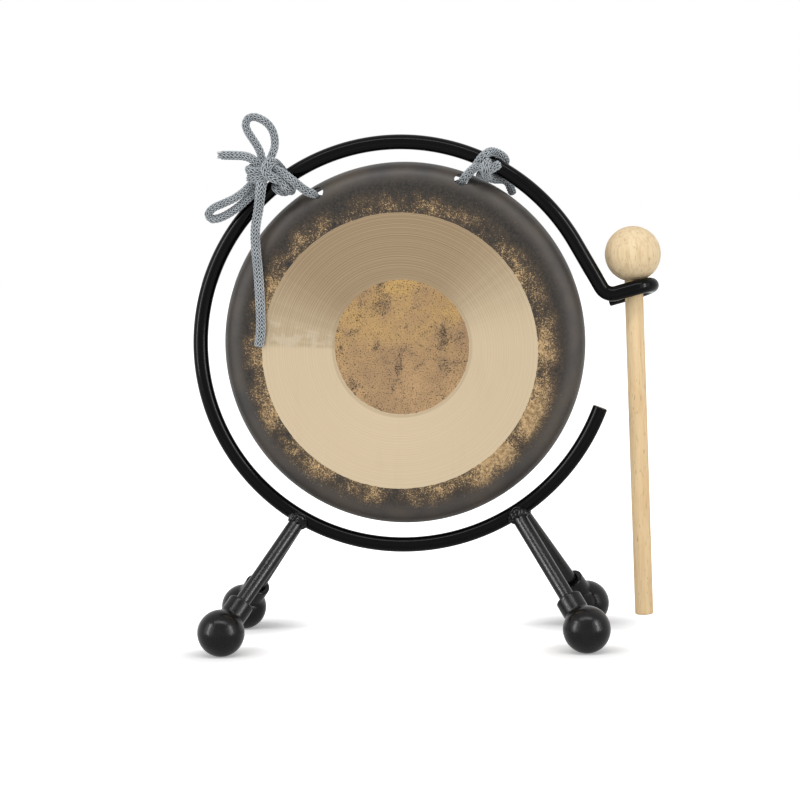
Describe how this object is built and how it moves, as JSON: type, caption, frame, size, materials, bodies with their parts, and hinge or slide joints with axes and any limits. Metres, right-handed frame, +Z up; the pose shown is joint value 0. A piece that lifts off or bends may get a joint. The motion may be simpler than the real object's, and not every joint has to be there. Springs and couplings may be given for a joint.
{
  "type": "gong stand",
  "caption": "Small table gong hung by a knitted cord in an open ring of black rod on splayed legs with rubber ball feet, with a wooden mallet resting in a loop at the side.",
  "frame": {"origin": "on the ground, midway across the ring and the mallet, and midway between the front and rear feet", "axes": "+Z up, -Y towards the player, +X towards the mallet"},
  "size_m": [0.2583, 0.1132, 0.2929],
  "materials": {
    "black_paint": "gloss",
    "leg_paint": "gloss with a slight orange peel",
    "foot_rubber": "semi-gloss",
    "gong_bronze": "dark patina with lathed bare rings",
    "mallet_wood": "plain sanded",
    "knitted_cord": "matt knit"
  },
  "bodies": {
    "stand": {"frame_rod": "black_paint", "leg_front_left": "leg_paint", "weld_front_left": "black_paint", "foot_front_left": "foot_rubber", "leg_front_right": "leg_paint", "weld_front_right": "black_paint", "foot_front_right": "foot_rubber", "leg_rear_left": "leg_paint", "weld_rear_left": "black_paint", "foot_rear_left": "foot_rubber", "leg_rear_right": "leg_paint", "weld_rear_right": "black_paint", "foot_rear_right": "foot_rubber", "cord_tail_upper": "knitted_cord", "cord_short_tail": "knitted_cord", "cord_bow_upper": "knitted_cord", "cord_bow_lower": "knitted_cord", "cord_knot": "knitted_cord", "cord_wrap_left": "knitted_cord", "cord_lead": "knitted_cord", "cord_hitch": "knitted_cord", "cord_hitch_tail": "knitted_cord"},
    "gong": {"gong": "gong_bronze", "cord_sling": "knitted_cord", "cord_tail_lower": "knitted_cord"},
    "mallet": {"mallet_head": "mallet_wood", "mallet_handle": "mallet_wood"}
  },
  "joints": [
    {"name": "gong_swing", "type": "hinge", "parent": "stand", "child": "gong", "pos_m": [-0.01252, -0.0026, 0.2573], "axis": [1, 0, 0], "range_deg": [-25, 15]},
    {"name": "mallet_lift", "type": "slide", "parent": "stand", "child": "mallet", "axis": [-0.0157, 0, 0.9999], "range_m": [0, 0.19]}
  ]
}
